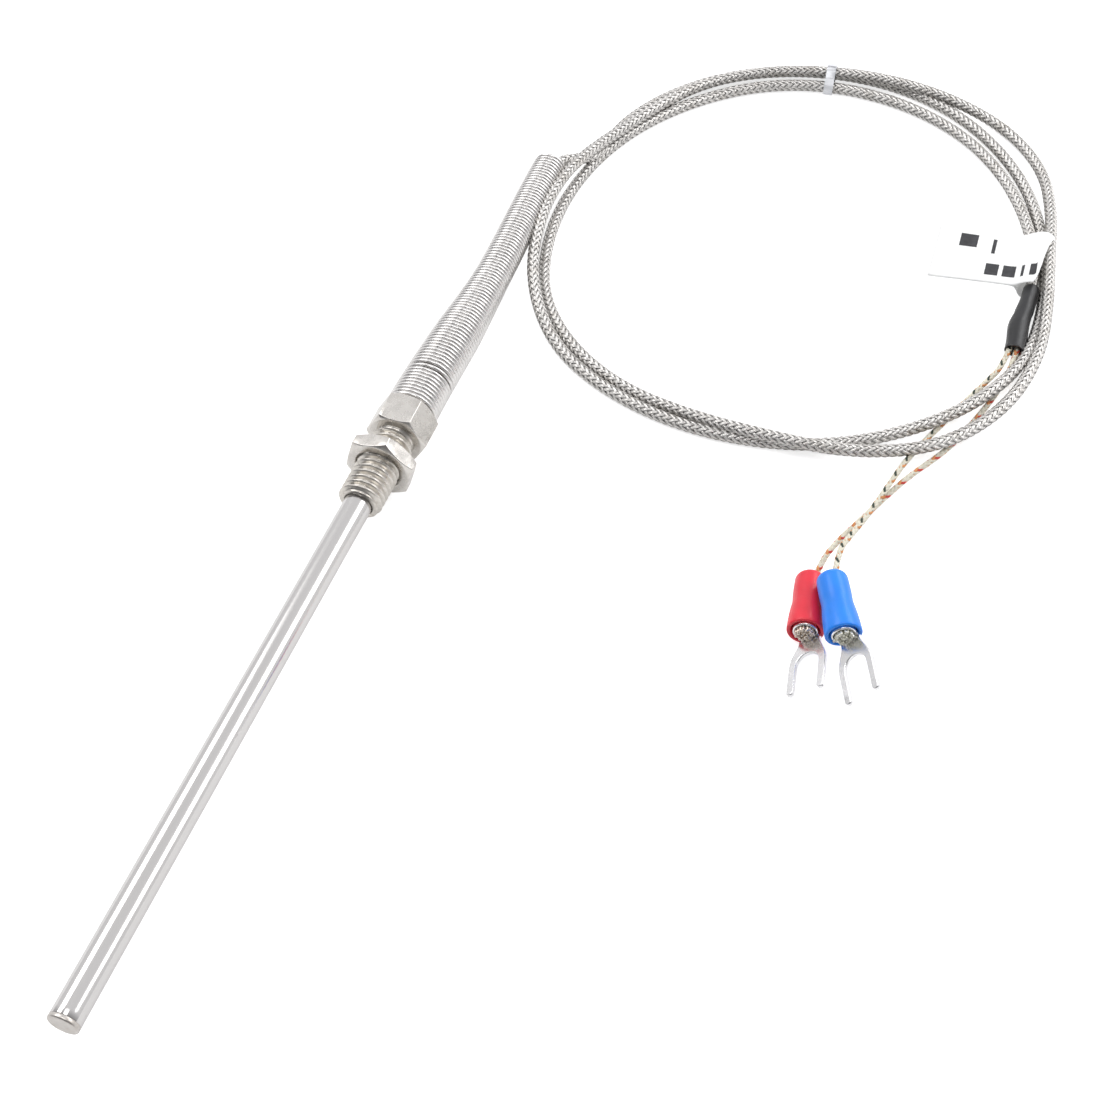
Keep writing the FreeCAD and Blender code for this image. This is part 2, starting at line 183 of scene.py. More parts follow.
def hermite(knots, at):
    """Smooth curve through (t, value, ...) knots, t rising or falling; at is one t."""
    sign = 1 if knots[-1][0] > knots[0][0] else -1
    i = 0
    while i < len(knots) - 2 and sign * at > sign * knots[i + 1][0]:
        i += 1

    def slope(k):
        """Slope of each value at a knot, from its two neighbours."""
        a = knots[max(k - 1, 0)]
        b = knots[min(k + 1, len(knots) - 1)]
        return [(q - p) / (b[0] - a[0]) for p, q in zip(a[1:], b[1:])]

    a, b = knots[i], knots[i + 1]
    step = b[0] - a[0]
    u = (at - a[0]) / step
    low, high = slope(i), slope(i + 1)
    return [
        (2 * u ** 3 - 3 * u ** 2 + 1) * p + (u ** 3 - 2 * u ** 2 + u) * step * m
        + (3 * u ** 2 - 2 * u ** 3) * q + (u ** 3 - u ** 2) * step * n
        for p, q, m, n in zip(a[1:], b[1:], low, high)
    ]


def line(name, points):
    """Open spline along points in millimetres, without thickness."""
    curve = bpy.data.curves.new(name, "CURVE")
    curve.dimensions = "3D"
    curve.resolution_u = 12
    spline = curve.splines.new("NURBS")
    spline.points.add(len(points) - 1)
    for p, co in zip(spline.points, points):
        p.co = (co[0] * MM, co[1] * MM, co[2] * MM, 1)
    spline.order_u = 3
    spline.use_endpoint_u = True
    return curve


def sampled(name, points, step):
    """Even points, in millimetres, along the spline through the route."""
    curve = line(name, points)
    holder = bpy.data.objects.new(name, curve)
    bpy.context.scene.collection.objects.link(holder)
    bpy.context.view_layer.update()
    mesh = bpy.data.meshes.new_from_object(holder)
    raw = np.array([v.co[:] for v in mesh.vertices]) / MM
    bpy.data.objects.remove(holder)
    bpy.data.curves.remove(curve)
    bpy.data.meshes.remove(mesh)
    return even(raw, step)


def even(points, step):
    """Points spaced evenly, about one step apart, along a chain of points."""
    points = np.asarray(points, dtype=float)
    runs = np.r_[0, np.cumsum(np.linalg.norm(np.diff(points, axis=0), axis=1))]
    count = int(round(runs[-1] / step)) + 1
    at = np.linspace(0, runs[-1], count)
    return np.stack([np.interp(at, runs, points[:, k]) for k in range(3)], axis=1)


def carried_frames(path):
    """Tangent and two normals carried along a path without twist."""
    tangent = np.gradient(path, axis=0)
    tangent /= np.linalg.norm(tangent, axis=1)[:, None]
    first = np.cross(tangent[0], [0, 0, 1.0])
    if np.linalg.norm(first) < 0.1:
        first = np.cross(tangent[0], [0, 1.0, 0])
    normal = np.empty_like(path)
    n = first / np.linalg.norm(first)
    for i, t in enumerate(tangent):
        n = n - t * n.dot(t)
        n /= np.linalg.norm(n)
        normal[i] = n
    return tangent, normal, np.cross(tangent, normal)


def tube_points(path, radius, columns):
    """Rings of points round a path; the radius is one number or one for each point."""
    _, normal, side = carried_frames(path)
    angles = 2 * pi * np.arange(columns) / columns
    cosines, sines = np.cos(angles)[None, :, None], np.sin(angles)[None, :, None]
    ring = cosines * normal[:, None] + sines * side[:, None]
    radius = np.broadcast_to(np.asarray(radius, dtype=float), (len(path),))
    return (path[:, None] + ring * radius[:, None, None]).reshape(-1, 3)


def tube(name, path, radius, columns, **rest):
    """Round bar with flat ends along a path."""
    points = tube_points(path, radius, columns)
    faces = grid_faces(len(path), columns)
    last = (len(path) - 1) * columns
    faces += [tuple(reversed(range(columns))), tuple(last + j for j in range(columns))]
    return mesh_object(name, points, faces, **rest)


def braid(name, path, radius, carriers, pitch, width, lift, step, material, tracers=(), colours=()):
    """Woven sleeve: flat carriers that wind both ways and pass two over, two under, round a core.

    tracers holds (way, number) of the carriers that have a colour of their own, colours its material.
    """
    runs = np.r_[0, np.cumsum(np.linalg.norm(np.diff(path, axis=0), axis=1))]
    _, normal, side = carried_frames(path)
    count = int(runs[-1] / step) + 1
    base = np.linspace(0, runs[-1], count)
    lay_angle = atan(2 * pi * radius / pitch)
    across = np.array([-0.5, -0.33, 0.0, 0.33, 0.5]) * width
    crown = np.array([-0.19, -0.055, 0.0, -0.055, -0.19]) * width
    quads = np.array(grid_faces(count, len(across), wrap=False))
    points, faces, uv, material_of = [], [], [], []
    for way in (1, -1):
        for i in range(carriers):
            crossing = 2 * carriers * base / pitch
            if way > 0:
                height = np.cos(pi / 2 * (crossing + 2 * i - 0.5))
            else:
                height = -np.cos(pi / 2 * (2 * i - crossing - 0.5))
            s = base[:, None] - way * across[None] * sin(lay_angle)
            turn = (way * 2 * pi * base / pitch + 2 * pi * i / carriers)[:, None] \
                + across[None] * cos(lay_angle) / radius
            s = np.clip(s, 0, runs[-1])
            r = radius + lift * height[:, None] + crown[None]
            centre, n, b = [np.stack([np.interp(s, runs, field[:, k]) for k in range(3)], axis=-1)
                            for field in (path, normal, side)]
            p = centre + r[..., None] * (np.cos(turn)[..., None] * n + np.sin(turn)[..., None] * b)
            faces.append(quads[:, ::way] + sum(len(q) for q in points))
            points.append(p.reshape(-1, 3))
            u = np.broadcast_to((across / width + 0.5)[None], s.shape)
            v = np.broadcast_to((base / pitch * 4 + i * 0.37 + (way > 0) * 0.5)[:, None], s.shape)
            uv.append(np.stack([u, v], axis=-1).reshape(-1, 2))
            slot = 1 + tracers.index((way, i)) if (way, i) in tracers else 0
            material_of.append(np.full(len(quads), slot, dtype=np.int32))
    obj = mesh_object(name, np.concatenate(points), np.concatenate(faces), uv=np.concatenate(uv),
                      material=material)
    for colour in colours:
        obj.data.materials.append(colour)
    obj.data.polygons.foreach_set("material_index", np.concatenate(material_of))
    return obj


# --- materials -------------------------------------------------------------------------------
def material(name, colour, metallic=0.0, roughness=0.5, vary=0.08, scale=400.0, bump=0.0,
             bump_scale=1500.0, stretch=(1, 1, 1), tint=0.06, dirt=None, dirt_amount=0.0,
             dirt_scale=120.0, coat=0.0):
    """Principled surface with noise in its colour and roughness, fine bump and sparse soiling."""
    m = bpy.data.materials.new(name)
    m.use_nodes = True
    nodes, links = m.node_tree.nodes, m.node_tree.links
    shader = nodes["Principled BSDF"]
    shader.inputs["Metallic"].default_value = metallic
    shader.inputs["Coat Weight"].default_value = coat
    shader.inputs["IOR"].default_value = 1.5
    place = nodes.new("ShaderNodeTexCoord")
    mapping = nodes.new("ShaderNodeMapping")
    mapping.inputs["Scale"].default_value = stretch
    links.new(place.outputs["Object"], mapping.inputs["Vector"])

    def noise(size, detail=4.0):
        """Output of a noise texture."""
        n = nodes.new("ShaderNodeTexNoise")
        n.inputs["Scale"].default_value = size
        n.inputs["Detail"].default_value = detail
        links.new(mapping.outputs["Vector"], n.inputs["Vector"])
        return n.outputs["Fac"]

    def ranged(value, low, high, frm=(0.3, 0.7)):
        """Output that maps a value from one range on to another."""
        r = nodes.new("ShaderNodeMapRange")
        r.inputs["From Min"].default_value, r.inputs["From Max"].default_value = frm
        r.inputs["To Min"].default_value, r.inputs["To Max"].default_value = low, high
        links.new(value, r.inputs["Value"])
        return r.outputs["Result"]

    def mixed(factor, a, b):
        """Colour between a and b; each is a plain colour or an output."""
        mix = nodes.new("ShaderNodeMix")
        mix.data_type = "RGBA"
        links.new(factor, mix.inputs["Factor"])
        for value, key in ((a, "A"), (b, "B")):
            port = [i for i in mix.inputs if i.name == key and i.type == "RGBA"][0]
            if isinstance(value, tuple):
                port.default_value = (*value, 1)
            else:
                links.new(value, port)
        return [o for o in mix.outputs if o.type == "RGBA"][0]

    broad = noise(scale)
    dark = tuple(c * (1 - tint) for c in colour)
    light = tuple(min(1.0, c * (1 + tint)) for c in colour)
    colour_out = mixed(ranged(broad, 0, 1), dark, light)
    if dirt:
        spots = ranged(noise(dirt_scale, 8.0), 0, dirt_amount, (0.52, 0.72))
        colour_out = mixed(spots, colour_out, dirt)
    links.new(colour_out, shader.inputs["Base Color"])
    links.new(ranged(noise(scale * 1.7), roughness - vary, roughness + vary), shader.inputs["Roughness"])
    if bump:
        b = nodes.new("ShaderNodeBump")
        b.inputs["Strength"].default_value = bump
        b.inputs["Distance"].default_value = 0.00005
        links.new(noise(bump_scale, 6.0), b.inputs["Height"])
        links.new(b.outputs["Normal"], shader.inputs["Normal"])
    return m


def math_node(tree, operation, value, second=None):
    """Output of a maths node fed by one socket, with a fixed second value where it needs one."""
    node = tree.nodes.new("ShaderNodeMath")
    node.operation = operation
    tree.links.new(value, node.inputs[0])
    if second is not None:
        node.inputs[1].default_value = second
    return node.outputs[0]


def wires(m, count, depth, painted_edge_shade=0.0):
    """Gives a material fine parallel wires across a carrier, as bump, and carrier edges darkened as
    painted shade.
    """
    tree = m.node_tree
    nodes, links = tree.nodes, tree.links
    shader = nodes["Principled BSDF"]
    place = nodes.new("ShaderNodeUVMap")
    place.uv_map = "along"
    split = nodes.new("ShaderNodeSeparateXYZ")
    links.new(place.outputs["UV"], split.inputs["Vector"])
    wave = math_node(tree, "SINE", math_node(tree, "MULTIPLY", split.outputs["X"], pi * count))
    bump = nodes.new("ShaderNodeBump")
    bump.inputs["Strength"].default_value = depth
    bump.inputs["Distance"].default_value = 0.00006
    links.new(math_node(tree, "ABSOLUTE", wave), bump.inputs["Height"])
    links.new(bump.outputs["Normal"], shader.inputs["Normal"])
    if painted_edge_shade:
        # painted shade: the outer part of each carrier is darkened, standing in for the shadowed gaps
        # between carriers
        centred = math_node(tree, "SUBTRACT", split.outputs["X"], 0.5)
        shade = nodes.new("ShaderNodeMapRange")
        shade.inputs["From Min"].default_value, shade.inputs["From Max"].default_value = 0.24, 0.46
        shade.inputs["To Min"].default_value, shade.inputs["To Max"].default_value = 1.0, 1.0 - painted_edge_shade
        links.new(math_node(tree, "ABSOLUTE", centred), shade.inputs["Value"])
        dim = nodes.new("ShaderNodeVectorMath")
        dim.operation = "SCALE"
        links.new(shader.inputs["Base Color"].links[0].from_socket, dim.inputs[0])
        links.new(shade.outputs["Result"], dim.inputs["Scale"])
        links.new(dim.outputs["Vector"], shader.inputs["Base Color"])
    return m


def glowing(m, strength):
    """Gives a material a faint white glow of its own."""
    shader = m.node_tree.nodes["Principled BSDF"]
    shader.inputs["Emission Color"].default_value = (1, 1, 1, 1)
    shader.inputs["Emission Strength"].default_value = strength
    return m


steel = material("polished_sheath", (0.62, 0.605, 0.595), 1.0, 0.17, vary=0.04, scale=90,
                 stretch=(0.05, 1, 1), bump=0.08, bump_scale=2500, tint=0.04,
                 dirt=(0.50, 0.48, 0.46), dirt_amount=0.3, dirt_scale=220)
tip_steel = material("tip_disc", (0.56, 0.53, 0.50), 1.0, 0.36, scale=500, bump=0.25, tint=0.10,
                     dirt=(0.36, 0.31, 0.26), dirt_amount=0.6, dirt_scale=400)
nickel = material("nickel_plate", (0.66, 0.635, 0.60), 1.0, 0.27, vary=0.07, scale=350, bump=0.22,
                  bump_scale=1800, tint=0.06, dirt=(0.52, 0.48, 0.43), dirt_amount=0.35, dirt_scale=900)
thread_steel = material("thread_nickel", (0.63, 0.60, 0.555), 1.0, 0.30, vary=0.08, scale=500,
                        bump=0.35, bump_scale=2200, tint=0.09, dirt=(0.40, 0.36, 0.31),
                        dirt_amount=0.5, dirt_scale=900)
spring_steel = material("spring_wire", (0.74, 0.725, 0.71), 1.0, 0.30, vary=0.05, scale=500,
                        bump=0.10, tint=0.05, dirt=(0.56, 0.52, 0.48), dirt_amount=0.3, dirt_scale=900)
# the steel braid's carrier edges are darkened as painted shade
braid_steel = wires(material("steel_braid", (0.72, 0.70, 0.675), 1.0, 0.28, vary=0.07, scale=700,
                             tint=0.12, dirt=(0.40, 0.36, 0.31), dirt_amount=0.4, dirt_scale=300),
                    5, 0.5, painted_edge_shade=0.72)
# near-black core: painted shade that shows dark through the gaps of the braid
braid_shade_core = material("braid_shade_core", (0.045, 0.042, 0.038), 0.2, 0.7, bump=0.4)
glass = wires(material("glass_sleeving", (0.90, 0.86, 0.72), 0.0, 0.62, scale=900, tint=0.08,
                       dirt=(0.60, 0.50, 0.34), dirt_amount=0.35, dirt_scale=500), 4, 0.9)
glass_core = material("glass_core", (0.62, 0.55, 0.42), 0.0, 0.7, bump=0.4)
tracer_red = wires(material("tracer_red", (0.72, 0.07, 0.045), 0.0, 0.6, scale=900, tint=0.15), 4, 0.9)
tracer_orange = wires(material("tracer_orange", (0.80, 0.34, 0.12), 0.0, 0.6, scale=900, tint=0.15),
                      4, 0.9)
tracer_dark = wires(material("tracer_dark", (0.05, 0.07, 0.05), 0.0, 0.6, scale=900, tint=0.2), 4, 0.9)
red_vinyl = material("red_vinyl", (0.80, 0.018, 0.042), 0.0, 0.42, vary=0.05, scale=260, bump=0.16,
                     bump_scale=700, tint=0.07, coat=0.15, dirt=(0.48, 0.02, 0.04), dirt_amount=0.4)
blue_vinyl = material("blue_vinyl", (0.004, 0.235, 0.92), 0.0, 0.42, vary=0.05, scale=260, bump=0.16,
                      bump_scale=700, tint=0.07, coat=0.15, dirt=(0.01, 0.11, 0.55), dirt_amount=0.4)
tinned = material("tinned_copper", (0.84, 0.835, 0.84), 1.0, 0.25, vary=0.05, scale=450, bump=0.15,
                  bump_scale=1400, tint=0.03, dirt=(0.70, 0.69, 0.67), dirt_amount=0.3, dirt_scale=900)
strand_metal = material("strands", (0.86, 0.76, 0.66), 1.0, 0.36, scale=900, tint=0.18,
                        dirt=(0.50, 0.42, 0.30), dirt_amount=0.5, dirt_scale=900)
strand_grey = material("grey_strands", (0.80, 0.79, 0.70), 1.0, 0.38, scale=900, tint=0.18,
                       dirt=(0.42, 0.41, 0.30), dirt_amount=0.5, dirt_scale=900)
shrink_black = material("heat_shrink", (0.018, 0.018, 0.020), 0.0, 0.38, vary=0.08, scale=300,
                        bump=0.5, bump_scale=500, tint=0.2, dirt=(0.07, 0.07, 0.07), dirt_amount=0.5)
white_plastic = material("white_plastic", (0.83, 0.84, 0.87), 0.0, 0.42, scale=300, bump=0.12, tint=0.03,
                         dirt=(0.66, 0.66, 0.66), dirt_amount=0.3)
# the paper glows faintly: painted light that keeps the label white where the lamps alone leave it grey
paper = glowing(material("paper", (0.86, 0.87, 0.86), 0.0, 0.66, vary=0.06, scale=180, bump=0.35,
                         bump_scale=420, tint=0.025, dirt=(0.74, 0.74, 0.72), dirt_amount=0.35,
                         dirt_scale=160), 0.14)
ink = material("ink", (0.035, 0.035, 0.04), 0.0, 0.55, scale=700, tint=0.3, bump=0.2)
ceramic = material("ceramic", (0.86, 0.83, 0.76), 0.0, 0.7, bump=0.3, dirt=(0.6, 0.56, 0.5),
                   dirt_amount=0.4)
epoxy = material("epoxy", (0.10, 0.085, 0.07), 0.0, 0.35, bump=0.3)


# --- the lead ----------------------------------------------------------------------------------
def ring_points():
    """Loop round the ring: a spline of this order runs inside its points, so they stand out."""
    outward = 1 / cos(pi / POINTS_PER_TURN)
    first, last = TURNS[0][0], TURNS[-1][0]
    count = ceil((first - last) / (360 / POINTS_PER_TURN))
    points = []
    for k in range(count + 1):
        angle = first + (last - first) * k / count
        radius, height = hermite(TURNS, angle)
        a = radians(angle)
        points.append((RING_CENTRE[0] + radius * outward * cos(a),
                       RING_CENTRE[1] + radius * outward * sin(a), max(height, REST)))
    return points


cable_path = sampled("cable line", LEAD_OUT + ring_points() + TAIL, 0.25)
cable = braid("cable_braid", cable_path, CABLE_D / 2 - 0.05, 8, 11.0, 0.70, 0.10, 0.28, braid_steel)
# the core inside the braid is near-black, painted shade in the gaps between carriers
cable_shade_core = tube("cable_shade_core", cable_path[::4], CABLE_D / 2 - 0.26, 10, material=braid_shade_core)
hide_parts("cable_lead_out", "cable_coil", "cable_tail")

for sign, route, tracers, colours in (
        ("positive", POSITIVE_ROUTE, ((1, 0), (-1, 2)), (tracer_red, tracer_orange)),
        ("negative", NEGATIVE_ROUTE, ((-1, 1), (1, 3)), (tracer_dark, tracer_orange))):
    path = sampled(sign + " line", route, 0.2)
    sleeving = braid(sign + "_lead_braid", path, LEAD_D / 2 - 0.04, 4, 4.4, 0.52, 0.05, 0.2, glass,
                     tracers, colours)
    core = tube(sign + "_lead_core", path[::3], LEAD_D / 2 - 0.12, 8, material=glass_core)
    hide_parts(sign + "_lead")


# --- sheath, bushing, nut, spring --------------------------------------------------------------
sheath = lathe("sheath", [
    (TIP_DISC_X, 2.1), (TIP_DISC_X, SHEATH_R - 0.03), (TIP_DISC_X + 0.06, SHEATH_R), (-98.0, SHEATH_R),
    (-70, SHEATH_R), (-40, SHEATH_R), (-10, SHEATH_R), (SHEATH_REAR_X, SHEATH_R), (SHEATH_REAR_X, 2.1),
], 128, closed=True, material=steel, sharp=50)
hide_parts("sheath_tube")

TIP_EDGE = 0.3
tip_profile = [(TIP_X, 0.001), (TIP_X, 1.9)]
tip_profile += [(TIP_X + TIP_EDGE - TIP_EDGE * cos(a), SHEATH_R - TIP_EDGE + TIP_EDGE * sin(a))
                for a in np.linspace(0, pi / 2, 7)]
tip_profile += [(TIP_DISC_X - 0.06, SHEATH_R), (TIP_DISC_X, SHEATH_R - 0.04), (TIP_DISC_X, 0.001)]
tip = lathe("sheath_tip", tip_profile, 96, material=tip_steel, sharp=60)
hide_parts("sheath_end_plug")


def thread_radius(phase):
    """Rolled 60 degree profile with rounded root and crest; phase runs 0 to 1 over one pitch."""
    t = abs(phase - 0.5) * 2
    ramp = min(1.0, max(0.0, (t - 0.16) / 0.68))
    ramp = ramp * ramp * (3 - 2 * ramp) * 0.45 + ramp * 0.55
    return THREAD_CREST - (THREAD_CREST - THREAD_ROOT) * ramp


def thread_mesh():
    """Helical thread: one row of points is one turn; rows join end to end at the seam."""
    columns, per_pitch = 120, 16
    rows = int(ceil(THREAD_END / THREAD_PITCH + 2)) * per_pitch
    points = []
    for i in range(rows):
        for j in range(columns):
            a = 2 * pi * j / columns
            x = THREAD_PITCH * (i / per_pitch + j / columns - 1)
            lead_in = 3.22 + max(0.0, x)
            run_out = 3.30 + max(0.0, THREAD_END - x) * 1.2
            r = min(thread_radius((i % per_pitch) / per_pitch), lead_in, run_out)
            x = min(max(x, 0.0), THREAD_END)
            points.append((x, r * cos(a), r * sin(a)))
    faces = []
    for i in range(rows - 1):
        for j in range(columns):
            here, ahead = i * columns + j, (i + 1) * columns + j
            if j + 1 < columns:
                faces.append((here, ahead, ahead + 1, here + 1))
            elif i + per_pitch + 1 < rows:
                faces.append((here, ahead, (i + 1 + per_pitch) * columns, (i + per_pitch) * columns))
    return points, faces


thread = mesh_object("bushing_thread", *thread_mesh(), body="bushing", material=thread_steel)
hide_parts("threaded_bushing")
mouth = lathe("bushing_mouth", [
    (0.02, 3.26), (0.0, 3.18), (0.0, 2.70), (0.02, 2.66), (0.08, 2.61), (0.3, 2.57), (15.9, BORE_R),
], 96, body="bushing", material=thread_steel, sharp=45)


def hexagon_radius(angle, flats, corner):
    """Distance to a hexagon's outline with rounded corners; angle is measured from a corner."""
    a = abs((angle + pi / 6) % (pi / 3) - pi / 6)
    reach = (flats / 2 - corner) / cos(pi / 6)
    flat = flats / 2 / cos(pi / 6 - a)
    inside_root = corner ** 2 - (reach * sin(a)) ** 2
    if inside_root > 0 and reach * sin(a) <= corner * sin(pi / 6):
        return reach * cos(a) + sqrt(inside_root)
    return flat


def hexagon(name, start, end, flats, turn, bore, corner, sink, **rest):
    """Hexagon with both faces turned off at 30 degrees and a bore countersunk by sink."""
    offsets = [0, 0.6, 1.2, 1.9, 2.8, 4, 6, 9, 13, 18, 24, 30]      # degrees each side of a corner
    angles = []
    for k in range(6):
        angles += [60 * k - o for o in reversed(offsets[1:-1])] + [60 * k + o for o in offsets]
    face_radius = flats / 2 * 0.965
    half_way = (bore + sink + face_radius) / 2
    rows = []
    for a in angles:
        r = hexagon_radius(radians(a), flats, corner)
        drop = (r - face_radius) * tan(radians(30))
        rows.append([
            (start + sink, bore), (start, bore + sink), (start, half_way), (start, face_radius),
            (start + drop, r), ((start + end) / 2, r), (end - drop, r),
            (end, face_radius), (end, half_way), (end, bore + sink), (end - sink, bore),
        ])
    count, rings = len(angles), len(rows[0])
    points = []
    for k in range(rings):
        for a, row in zip(angles, rows):
            t = radians(a + turn)
            points.append((row[k][0], row[k][1] * cos(t), row[k][1] * sin(t)))
    faces = grid_faces(rings, count)
    last = (rings - 1) * count
    faces += [(last + j, last + (j + 1) % count, (j + 1) % count, j) for j in range(count)]
    return mesh_object(name, points, [tuple(reversed(f)) for f in faces], **rest)


head = hexagon("bushing_hexagon", HEXAGON_START, HEXAGON_END, HEXAGON_FLATS, 0.0, 3.36, corner=0.22,
               sink=0.1, body="bushing", material=nickel)
soften(head, 0.09, 2)
undercut = lathe("bushing_undercut", [
    (14.7, 3.3), (15.0, 3.24), (15.3, 3.22), (15.6, 3.3), (15.72, 3.6), (15.72, 3.0)
], 96, body="bushing", material=thread_steel)
nut = hexagon("lock_nut_body", NUT_START, NUT_END, NUT_FLATS, NUT_TURN, 3.98, corner=0.25,
              sink=0.38, body="lock_nut", material=nickel)
soften(nut, 0.09, 2)
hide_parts("lock_nut")


def spring_path():
    """Close-wound tapering helix, with one turn slightly opened and a slight bow sideways."""
    front = SPRING_OUTER[0][0] + SPRING_WIRE / 2
    rear = SPRING_OUTER[-1][0] - SPRING_WIRE / 2
    pitch = (rear - front - OPENED_GAP) / SPRING_TURNS
    per_turn = 40
    path = []
    for k in range(SPRING_TURNS * per_turn + 1):
        t = k / per_turn
        x = front + pitch * t + OPENED_GAP / (1 + exp(-(t - OPENED_TURN) * 6))
        r = hermite(SPRING_OUTER, x)[0] - SPRING_WIRE / 2
        a = 2 * pi * t
        bow = -0.9 * sin(pi * (x - 24) / 68) ** 2 if 24 < x < 92 else 0.0
        path.append((x, r * cos(a) + bow, r * sin(a)))
    return np.array(path)


spring = tube("spring_wire_helix", spring_path(), SPRING_WIRE / 2, 10, material=spring_steel)
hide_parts("strain_relief_spring")


# --- terminals ---------------------------------------------------------------------------------
def terminal_matrix(t):
    """Frame of a terminal: X out of the barrel's mouth, Z up through the tongue."""
    turned = Matrix.Translation(Vector(t["mouth"]))
    for angle, axis in (("yaw", "Z"), ("pitch", "Y"), ("roll", "X")):
        turned = turned @ Matrix.Rotation(radians(t[angle]), 4, axis)
    return turned


def cap_profile():
    """Insulating cap: domed rear, slight waist where it is crimped, flared mouth."""
    rows = [(-11.2, 1.30), (-11.8, 1.30)]
    rows += [(-10.75 - 1.25 * cos(a), 1.55 + 1.05 * sin(a)) for a in np.linspace(0.1, pi / 2, 8)]
    rows += [(-9.5, 2.64), (-8.2, 2.66), (-7.0, 2.62), (-6.2, 2.60), (-5.4, 2.66), (-4.4, 2.80),
             (-3.2, 2.93), (-1.8, 3.02), (-0.6, 3.07), (-0.2, 3.06), (-0.04, 2.98), (0.0, 2.86),
             (-0.02, 2.60), (-0.12, 2.46), (-0.6, 2.30), (-1.0, 2.14), (-2.0, 2.11), (-6.0, 2.11),
             (-6.2, 1.35)]
    return rows


def fork_plan():
    """Outline of the flat tongue: one side from the barrel round the prong's end into the slot."""
    half, slot, prong, slot_centre = 3.4, 2.15, 1.25, 5.55
    end = 11.3 - prong / 2
    side = [(-1.5, 1.9), (0.6, 1.9), (1.3, 2.0), (2.1, 2.35), (2.9, 2.75), (3.8, 3.12), (4.7, 3.33),
            (slot_centre, half)]
    side += [(end + prong / 2 * sin(a), half - prong / 2 + prong / 2 * cos(a))
             for a in np.linspace(0, pi, 9)]
    side += [(slot_centre - slot * sin(a), slot * cos(a)) for a in np.linspace(0, pi / 2, 13)]
    return side + [(x, -y) for x, y in reversed(side[:-1])]


def tongue(name, matrix):
    """Flat fork, 0.8 thick, that leaves the bottom of the barrel."""
    outline, low, high = fork_plan(), -2.1, -1.3
    n = len(outline)
    points = [(x, y, high) for x, y in outline] + [(x, y, low) for x, y in outline]
    faces = [tuple(reversed(range(n))), tuple(range(n, 2 * n))]
    faces += [(j, (j + 1) % n, n + (j + 1) % n, n + j) for j in range(n)]
    return soften(mesh_object(name, points, faces, matrix=matrix, material=tinned), 0.16, 3, 50)


def barrel(name, matrix):
    """Crimp barrel with a rounded, slightly flared mouth."""
    return lathe(name, [
        (-6, 1.62), (-0.25, 1.62), (0.12, 1.72), (0.2, 1.86), (0.12, 2.02), (-0.1, 2.09), (-6, 2.09),
    ], 48, closed=True, matrix=matrix, material=tinned, sharp=60)


def strands(name, matrix, material, seed):
    """Cut ends of the conductor's strands, uneven in length, filling the barrel's mouth."""
    rng = np.random.default_rng(seed)
    spots = [(0, 0)] + [(0.52 * cos(a), 0.52 * sin(a)) for a in np.arange(6) * pi / 3]
    spots += [(1.06 * cos(a), 1.06 * sin(a)) for a in np.arange(12) * pi / 6 + 0.2]
    spots += [(1.38 * cos(a), 1.38 * sin(a)) for a in np.arange(16) * pi / 8]
    columns, radius, cut_radius = 8, 0.27, 0.2
    points, faces = [], []
    for y, z in spots:
        reach = 0.55 + 0.5 * rng.random()
        lean = rng.normal(0, 0.14, 2)
        path = even([(-5, y, z), (-1.5, y, z), (0, y * 0.98, z * 0.98),
                     (reach, y + lean[0], z + lean[1])], 0.35)
        start, last = len(points), len(points) + (len(path) - 1) * columns
        points += list(tube_points(path, np.r_[np.full(len(path) - 1, radius), cut_radius], columns))
        faces += grid_faces(len(path), columns, start=start)
        faces.append(tuple(last + j for j in range(columns)))
    return mesh_object(name, points, faces, matrix=matrix, material=material)


def terminal(sign, vinyl, wire_material, seed):
    """Cap, fork, barrel and strands of one lead's end."""
    m = terminal_matrix(TERMINALS[sign])
    cap = lathe(sign + "_cap", cap_profile(), 72, closed=True, matrix=m, material=vinyl, sharp=60)
    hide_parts(sign + "_sleeve")
    fork = tongue(sign + "_tongue", m)
    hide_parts(sign + "_fork")
    crimp = barrel(sign + "_barrel", m)
    ends = strands(sign + "_strands", m, wire_material, seed)
    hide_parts(sign + "_conductor")
    return [cap, fork, crimp, ends]


terminals = {
    "positive": terminal("positive", red_vinyl, strand_metal, 3),
    "negative": terminal("negative", blue_vinyl, strand_grey, 8),
}


